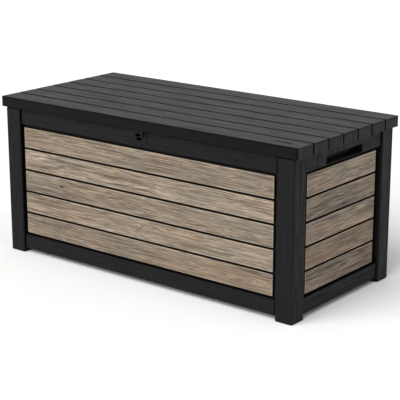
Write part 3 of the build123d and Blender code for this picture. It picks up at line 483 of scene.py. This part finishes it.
def embossed_resin(name, base, looks, run, depth=1.0, gloss=0.5, painted_top_light=None, pitch=None):
    """Dark resin with an embossed wood grain, rubbed edges, a little dust on top and painted shade in
    crevices; it may also get painted light on its top faces and black seams that are partly dirt, partly
    painted shade.
    """
    if name in bpy.data.materials:
        return bpy.data.materials[name]
    material, tree, shader = new_finish(name, Specular_IOR_Level=0.12)
    place = object_place(tree)
    along = grain_run(tree, run)
    grain = use(tree, shared("Wood Grain"), Place=along, Streak_Length=looks.emboss_length,
                Streak_Width=looks.emboss_width)
    rub = use(tree, shared("Edge Rub"), Place=place, Width=looks.rub_width, Patch_Size=0.06)
    dust = use(tree, shared("Settled Dust"), Place=place, Patch_Size=0.25)
    tone = ramp(tree, grain["Streaks"], 0.0, 1.0, 0.84, 1.16)
    hair = ramp(tree, grain["Hairs"], 0.0, 1.0, 0.85, 1.15)
    tone = sums(tree, "MULTIPLY", tone, hair)
    # Painted light: faces that point up take the lighter lid grey in place of the base colour.
    if painted_top_light:
        base = blend(tree, dust["Up"], base, painted_top_light)
    paint = blend(tree, 1.0, base, axes(tree, tone, tone, tone), "MULTIPLY")
    paint = blend(tree, sums(tree, "MULTIPLY", dust["Dust"], 0.06), paint, looks.dust)
    paint = blend(tree, sums(tree, "MULTIPLY", rub["Rub"], 0.3), paint, looks.scuffed)
    # Seams painted black: partly dirt, partly painted shade in the grooves and a little beyond them.
    if pitch:
        shifted = moved(tree, "SUBTRACT", place, tuple(cad_low))
        seam_dirt_and_shade = use(tree, shared("Seam Dirt And Shade"), Place=shifted, Pitch=pitch, Groove_Width=looks.seam_width)
        paint = blend(tree, sums(tree, "MULTIPLY", seam_dirt_and_shade["Dirt And Shade"], 0.96), paint, SEAM_DIRT_AND_SHADE_BLACK)
    # Painted shade: the paint goes black in crevices and between pieces, by ambient occlusion.
    feed(tree, shader["Base Color"], crevice_shaded(tree, paint))
    rough = ramp(tree, grain["Streaks"], 0.0, 1.0, gloss + 0.14, gloss - 0.06)
    feed(tree, shader["Roughness"], sums(tree, "MULTIPLY_ADD", dust["Dust"], 0.1, rough))
    relief(tree, shader, grain["Height"], looks.emboss_depth * depth, 0.9)
    return material


def moulded_resin(name, base, looks, gloss=0.5, pebble=0.0016, dusty=0.1, rubbed=0.35):
    """Dark resin with a fine pebbled skin, rubbed edges, dust and painted shade in crevices."""
    if name in bpy.data.materials:
        return bpy.data.materials[name]
    material, tree, shader = new_finish(name, Specular_IOR_Level=0.12)
    place = object_place(tree)
    skin = use(tree, shared("Moulded Skin"), Place=place, Pebble_Size=pebble)
    rub = use(tree, shared("Edge Rub"), Place=place, Width=looks.rub_width * 0.7, Patch_Size=0.03)
    dust = use(tree, shared("Settled Dust"), Place=place, Patch_Size=0.15)
    tone = ramp(tree, skin["Mottle"], 0.0, 1.0, 0.85, 1.15)
    paint = blend(tree, 1.0, base, axes(tree, tone, tone, tone), "MULTIPLY")
    paint = blend(tree, sums(tree, "MULTIPLY", dust["Dust"], dusty), paint, looks.dust)
    paint = blend(tree, sums(tree, "MULTIPLY", rub["Rub"], rubbed), paint, looks.scuffed)
    # Painted shade: the paint goes black in crevices and between pieces, by ambient occlusion.
    feed(tree, shader["Base Color"], crevice_shaded(tree, paint))
    feed(tree, shader["Roughness"], ramp(tree, skin["Mottle"], 0.0, 1.0, gloss + 0.08, gloss - 0.05))
    relief(tree, shader, skin["Height"], 0.00018, 0.7)
    return material


def plated_metal(name, base, gloss=0.34):
    """Plated steel with a faint spangle, brushed lines and dulled patches."""
    if name in bpy.data.materials:
        return bpy.data.materials[name]
    material, tree, shader = new_finish(name, Metallic=1.0)
    place = object_place(tree)
    skin = use(tree, shared("Moulded Skin"), Place=place, Pebble_Size=0.0009)
    rub = use(tree, shared("Edge Rub"), Place=place, Width=0.0008, Patch_Size=0.01)
    flakes = add(tree, "ShaderNodeTexVoronoi", {"Vector": place, "Scale": 420.0}).outputs["Color"]
    tone = ramp(tree, apart(tree, flakes)[0], 0.0, 1.0, 0.86, 1.08)
    paint = blend(tree, 1.0, base, axes(tree, tone, tone, tone), "MULTIPLY")
    paint = blend(tree, sums(tree, "MULTIPLY", skin["Mottle"], 0.3), paint, DULLED_STEEL)
    paint = blend(tree, sums(tree, "MULTIPLY", rub["Rub"], 0.4), paint, base)
    feed(tree, shader["Base Color"], paint)
    feed(tree, shader["Roughness"], ramp(tree, skin["Mottle"], 0.0, 1.0, gloss - 0.08, gloss + 0.12))
    relief(tree, shader, skin["Height"], 0.00006, 0.5)
    return material


def black_rubber(looks):
    """Matt black rubber with a bloom of dust."""
    name = "Black Rubber"
    if name in bpy.data.materials:
        return bpy.data.materials[name]
    material, tree, shader = new_finish(name, Specular_IOR_Level=0.3)
    place = object_place(tree)
    skin = use(tree, shared("Moulded Skin"), Place=place, Pebble_Size=0.0012)
    paint = blend(tree, sums(tree, "MULTIPLY", skin["Mottle"], 0.25), looks.rubber, RUBBER_BLOOM)
    feed(tree, shader["Base Color"], paint)
    feed(tree, shader["Roughness"], ramp(tree, skin["Mottle"], 0.0, 1.0, 0.75, 0.92))
    relief(tree, shader, skin["Height"], 0.00012, 0.6)
    return material


def pale_floor(looks):
    """Matt floor with a faint trowelled tone."""
    material, tree, shader = new_finish("Pale Floor", Specular_IOR_Level=0.1)
    place = object_place(tree)
    cloud = noise(tree, place, scale=1.3, detail=3.0)
    tone = ramp(tree, cloud, 0.3, 0.7, 0.985, 1.0)
    paint = blend(tree, 1.0, looks.floor_tone, axes(tree, tone, tone, tone), "MULTIPLY")
    feed(tree, shader["Base Color"], paint)
    feed(tree, shader["Roughness"], ramp(tree, cloud, 0.3, 0.7, 0.8, 0.9))
    return material


# ------------------------------------------------------------ shapes
def put_in_order(elements, place):
    """Number vertices or faces by where they are; the mesh tools leave them in no fixed order."""
    ordered = sorted(elements, key=lambda element: place(element).to_tuple(ORDER_DIGITS))
    ranks = {element: rank for rank, element in enumerate(ordered)}
    elements.sort(key=ranks.get)


def finished_piece(bm, name, material, values=()):
    """Turn a bmesh into an object at the origin; values are point attributes worked out per vertex."""
    bmesh.ops.remove_doubles(bm, verts=bm.verts, dist=TOUCHING)
    bmesh.ops.recalc_face_normals(bm, faces=bm.faces)
    put_in_order(bm.verts, lambda vert: vert.co)
    put_in_order(bm.faces, lambda face: face.calc_center_median())
    mesh = bpy.data.meshes.new(name)
    bm.to_mesh(mesh)
    bm.free()
    for label, kind, field, numbers in values:
        mesh.attributes.new(label, kind, "POINT").data.foreach_set(field, numbers(mesh))
    mesh.materials.append(material)
    piece = bpy.data.objects.new(name, mesh)
    bpy.context.scene.collection.objects.link(piece)
    return piece


def edges_on(bm, test):
    """Edges whose two ends both pass a test."""
    return [e for e in bm.edges if all(test(v.co) for v in e.verts)]


def board_blank(size, looks):
    """A hollow-backed board round the origin: along X, its face towards -Y and its back to +Y."""
    bm = bmesh.new()
    bmesh.ops.create_cube(bm, size=1.0)
    bmesh.ops.scale(bm, vec=size, verts=bm.verts)
    back = [f for f in bm.faces if f.normal.y > 0.9]
    bmesh.ops.inset_region(bm, faces=back, thickness=looks.wall, use_even_offset=True)
    pushed = bmesh.ops.extrude_face_region(bm, geom=back)
    bmesh.ops.delete(bm, geom=back, context="FACES")
    inner = [v for v in pushed["geom"] if isinstance(v, bmesh.types.BMVert)]
    bmesh.ops.translate(bm, vec=(0, looks.wall - size.y, 0), verts=inner)
    half = size / 2

    def on_face(spot):
        return abs(spot.y + half.y) < TOUCHING

    def on_corner(spot):
        return abs(abs(spot.x) - half.x) < TOUCHING and abs(abs(spot.z) - half.z) < TOUCHING

    sides = [e for e in edges_on(bm, on_corner) if abs(e.verts[0].co.y - e.verts[1].co.y) > TOUCHING]
    rounded = edges_on(bm, on_face) + sides
    bmesh.ops.bevel(bm, geom=rounded, offset=looks.edge_radius, segments=3, profile=0.5, material=-1,
                    affect="EDGES", clamp_overlap=True)
    face = [f for f in bm.faces if f.normal.y < -0.999 and f.calc_area() > 0.3 * size.x * size.z]
    worn = bm.verts.layers.float.new("worn")
    # sunk rises from the face back over the sides; the board finish paints shade into the gaps with it.
    sunk = bm.verts.layers.float.new("sunk")
    for vertex in bm.verts:
        vertex[worn] = 1.0
        vertex[sunk] = min(max(vertex.co.y + half.y - looks.edge_radius / 2, 0.0) / looks.wall, 1.0)
    bmesh.ops.inset_region(bm, faces=face, thickness=looks.worn_band, use_even_offset=True)
    for vertex in {v for f in face for v in f.verts}:
        vertex[worn] = 0.0
    return bm


def make_board(wall, row, looks, seed):
    """One cladding board on a wall, over the solid of the same place."""
    node = f"{wall}_board_{row}"
    low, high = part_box(node)
    middle, span = (low + high) / 2, high - low
    if wall in ("left", "right"):
        span = Vector((span.y, span.x, span.z))
    bm = board_blank(span, looks)
    first = SEED_STEP * seed
    turn = Matrix.Translation(middle) @ Matrix.Rotation(math.radians(TURNS[wall]), 4, "Z")
    back = turn.inverted()

    def places(mesh):
        return [n for v in mesh.vertices for n in back @ v.co + first]

    turned = (row - 1 + WALL_SHIFT * WALLS.index(wall)) % len(ROW_TONES)

    def tones(mesh):
        return [ROW_TONES[turned]] * len(mesh.vertices)

    def warmths(mesh):
        return [ROW_WARMTHS[turned]] * len(mesh.vertices)

    bmesh.ops.transform(bm, matrix=turn, verts=bm.verts)
    values = [
        ("grain_place", "FLOAT_VECTOR", "vector", places),
        ("board_tone", "FLOAT", "value", tones),
        ("board_warmth", "FLOAT", "value", warmths),
    ]
    piece = finished_piece(bm, f"{wall}_cladding_{row}", weathered_board(looks), values)
    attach(piece, "box")
    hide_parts(node)


def finish_nodes(material, *names):
    """Give carried-over solids their finish."""
    for name in names:
        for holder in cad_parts[name].material_slots:
            holder.material = material


# ------------------------------------------------------------ operators
class DECK_OT_cladding_boards(bpy.types.Operator):
    """Five boards on each of the four walls"""

    bl_idname = "deck.cladding_boards"
    bl_label = "Cladding Boards"

    def execute(self, context):
        looks = context.scene.deck_boards
        for number, (wall, row) in enumerate((wall, row) for wall in WALLS for row in ROWS):
            make_board(wall, row, looks, looks.seed + number)
        return {"FINISHED"}


class DECK_OT_corner_posts(bpy.types.Operator):
    """Four corner posts with grain that runs upright"""

    bl_idname = "deck.corner_posts"
    bl_label = "Corner Posts"

    def execute(self, context):
        looks = context.scene.deck_resin
        upright = embossed_resin("Upright Resin", looks.charcoal, looks, "height")
        for end in ("front", "back"):
            finish_nodes(upright, f"{end}_left_post", f"{end}_right_post")
        return {"FINISHED"}


class DECK_OT_wall_panels(bpy.types.Operator):
    """Four wall panels with their rails"""

    bl_idname = "deck.wall_panels"
    bl_label = "Wall Panels"

    def execute(self, context):
        looks = context.scene.deck_resin
        long_rail = embossed_resin("Long Rail Resin", looks.charcoal, looks, "width", depth=0.45)
        short_rail = embossed_resin("Short Rail Resin", looks.charcoal, looks, "depth", depth=0.45)
        finish_nodes(long_rail, "front_panel", "back_panel")
        finish_nodes(short_rail, "left_panel", "right_panel")
        return {"FINISHED"}


class DECK_OT_lid(bpy.types.Operator):
    """Plank-pattern lid shell"""

    bl_idname = "deck.lid"
    bl_label = "Lid"

    def execute(self, context):
        looks = context.scene.deck_resin
        low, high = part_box("lid_shell")
        resin = embossed_resin("Lid Resin", looks.skirt, looks, "lid", gloss=0.46,
                               painted_top_light=looks.lid_grey, pitch=(high.y - low.y) / looks.planks)
        finish_nodes(resin, "lid_shell")
        return {"FINISHED"}


class DECK_OT_lid_underside(bpy.types.Operator):
    """Liner, stiffening beams and buffers under the lid"""

    bl_idname = "deck.lid_underside"
    bl_label = "Lid Underside"

    def execute(self, context):
        looks, metals = context.scene.deck_resin, context.scene.deck_fittings
        finish_nodes(moulded_resin("Liner Resin", looks.inner, looks, gloss=0.58), "lid_liner")
        finish_nodes(plated_metal("Beam Steel", metals.zinc, 0.42), "lid_beam_front", "lid_beam_back")
        finish_nodes(black_rubber(metals), "lid_buffers")
        return {"FINISHED"}


class DECK_OT_side_handles(bpy.types.Operator):
    """Carrying handles let into the two end walls"""

    bl_idname = "deck.side_handles"
    bl_label = "Side Handles"

    def execute(self, context):
        looks = context.scene.deck_resin
        handle = moulded_resin("Handle Resin", looks.charcoal, looks, gloss=0.5)
        finish_nodes(handle, "left_handle", "right_handle")
        return {"FINISHED"}


class DECK_OT_padlock_parts(bpy.types.Operator):
    """Tongue on the lid and plate on the front rail that a padlock joins"""

    bl_idname = "deck.padlock_parts"
    bl_label = "Padlock Parts"

    def execute(self, context):
        looks = context.scene.deck_resin
        resin = moulded_resin("Lock Resin", looks.charcoal, looks, gloss=0.44)
        finish_nodes(resin, "lock_plate", "lock_tongue")
        return {"FINISHED"}


class DECK_OT_badge(bpy.types.Operator):
    """Blank badge let into the lid"""

    bl_idname = "deck.badge"
    bl_label = "Badge"

    def execute(self, context):
        looks, metals = context.scene.deck_resin, context.scene.deck_fittings
        badge = moulded_resin("Badge Resin", metals.badge, looks, pebble=0.001, dusty=0.01, rubbed=0.05)
        finish_nodes(badge, "lid_badge")
        return {"FINISHED"}


class DECK_OT_floor_and_feet(bpy.types.Operator):
    """Floor panel inside and pads under the posts"""

    bl_idname = "deck.floor_and_feet"
    bl_label = "Floor and Feet"

    def execute(self, context):
        looks = context.scene.deck_resin
        resin = moulded_resin("Floor Resin", looks.inner, looks, gloss=0.62, pebble=0.003)
        finish_nodes(resin, "floor_panel")
        finish_nodes(black_rubber(context.scene.deck_fittings), "foot_pads")
        return {"FINISHED"}


class DECK_OT_hinges(bpy.types.Operator):
    """Three hinges with their pins and screws"""

    bl_idname = "deck.hinges"
    bl_label = "Hinges"

    def execute(self, context):
        metals = context.scene.deck_fittings
        places = ("left", "centre", "right")
        finish_nodes(plated_metal("Plated Steel", metals.zinc),
                     *[f"hinge_{part}_{place}" for part in ("base", "leaf") for place in places])
        finish_nodes(plated_metal("Bright Steel", metals.steel, 0.26), "hinge_pins", "hinge_screws",
                     "lid_screws", "fitting_screws", "strut_screws")
        return {"FINISHED"}


class DECK_OT_gas_struts(bpy.types.Operator):
    """Two gas struts and the brackets at their ends"""

    bl_idname = "deck.gas_struts"
    bl_label = "Gas Struts"

    def execute(self, context):
        looks, metals = context.scene.deck_resin, context.scene.deck_fittings
        plated = plated_metal("Plated Steel", metals.zinc)
        painted = moulded_resin("Strut Paint", metals.paint, looks, gloss=0.28, pebble=0.0008)
        chromed = plated_metal("Chrome Rod", metals.chrome, gloss=0.14)
        for side in ("left", "right"):
            finish_nodes(plated, f"strut_foot_{side}", f"strut_head_{side}")
            finish_nodes(painted, f"strut_tube_{side}")
            finish_nodes(chromed, f"strut_rod_{side}")
        return {"FINISHED"}


def aim(thing, target):
    """Turn a lamp towards a point."""
    thing.rotation_euler = (Vector(target) - thing.location).to_track_quat("-Z", "Y").to_euler()


def add_sun(name, strength, spread, stand):
    """A broad far lamp that shines from a place towards the object."""
    lamp = bpy.data.lights.new(name, "SUN")
    lamp.energy = strength
    lamp.angle = math.radians(spread)
    thing = bpy.data.objects.new(name, lamp)
    bpy.context.scene.collection.objects.link(thing)
    thing.location = stand
    aim(thing, LAMP_TARGET)


class DECK_OT_studio(bpy.types.Operator):
    """Pale floor, soft lamps and the camera"""

    bl_idname = "deck.studio"
    bl_label = "Studio"

    def execute(self, context):
        looks = context.scene.deck_studio
        bm = bmesh.new()
        bmesh.ops.create_grid(bm, x_segments=FLOOR_SQUARES, y_segments=FLOOR_SQUARES,
                              size=looks.floor_size / 2)
        floor = finished_piece(bm, "studio_floor", pale_floor(looks))

        world = bpy.data.worlds.new("Studio Room")
        context.scene.world = world
        world.use_nodes = True
        backdrop = world.node_tree.nodes["Background"]
        backdrop.inputs["Color"].default_value = (1.0, 1.0, 1.0, 1.0)
        backdrop.inputs["Strength"].default_value = looks.sky

        add_sun("Key Lamp", looks.key, KEY_SPREAD, KEY_STAND)
        add_sun("Side Lamp", looks.rim, SIDE_SPREAD, SIDE_STAND)

        camera = bpy.data.objects.new("Camera", bpy.data.cameras.new("Camera"))
        context.scene.collection.objects.link(camera)
        camera.data.sensor_width = SENSOR_WIDTH
        camera.data.lens = looks.lens
        camera.data.clip_end = CAMERA_REACH
        camera.location = CAMERA_STAND
        camera.rotation_euler = (math.pi / 2 - CAMERA_DOWN, 0.0, CAMERA_TURN)
        context.scene.camera = camera
        context.scene.view_settings.view_transform = "Standard"
        return {"FINISHED"}


class DECK_PT_builder(bpy.types.Panel):
    """Lists the steps that build the box"""

    bl_label = "Deck Storage Box"
    bl_idname = "DECK_PT_builder"
    bl_space_type = "VIEW_3D"
    bl_region_type = "UI"
    bl_category = "Deck Box"

    def draw(self, context):
        for operator in OPERATORS:
            self.layout.operator(operator.bl_idname)
        for holder in SETTINGS:
            group = getattr(context.scene, holder)
            box = self.layout.box()
            for name in group.bl_rna.properties.keys():
                if name not in ("rna_type", "name"):
                    box.prop(group, name)


SETTINGS = {
    "deck_boards": DeckBoardSettings,
    "deck_resin": DeckResinSettings,
    "deck_fittings": DeckFittingSettings,
    "deck_studio": DeckStudioSettings,
}
OPERATORS = (
    DECK_OT_floor_and_feet,
    DECK_OT_corner_posts,
    DECK_OT_wall_panels,
    DECK_OT_cladding_boards,
    DECK_OT_side_handles,
    DECK_OT_lid,
    DECK_OT_lid_underside,
    DECK_OT_badge,
    DECK_OT_padlock_parts,
    DECK_OT_hinges,
    DECK_OT_gas_struts,
    DECK_OT_studio,
)


def register():
    """Register the settings, the steps and the panel."""
    for holder, group in SETTINGS.items():
        bpy.utils.register_class(group)
        setattr(bpy.types.Scene, holder, PointerProperty(type=group))
    for operator in OPERATORS:
        bpy.utils.register_class(operator)
    bpy.utils.register_class(DECK_PT_builder)


def unregister():
    """Take back what register added."""
    bpy.utils.unregister_class(DECK_PT_builder)
    for operator in reversed(OPERATORS):
        bpy.utils.unregister_class(operator)
    for holder, group in SETTINGS.items():
        delattr(bpy.types.Scene, holder)
        bpy.utils.unregister_class(group)


def main():
    """Build every piece."""
    register()
    for operator in OPERATORS:
        step = operator.bl_idname.split(".")[1]
        getattr(bpy.ops.deck, step)()


if __name__ == "__main__":
    main()
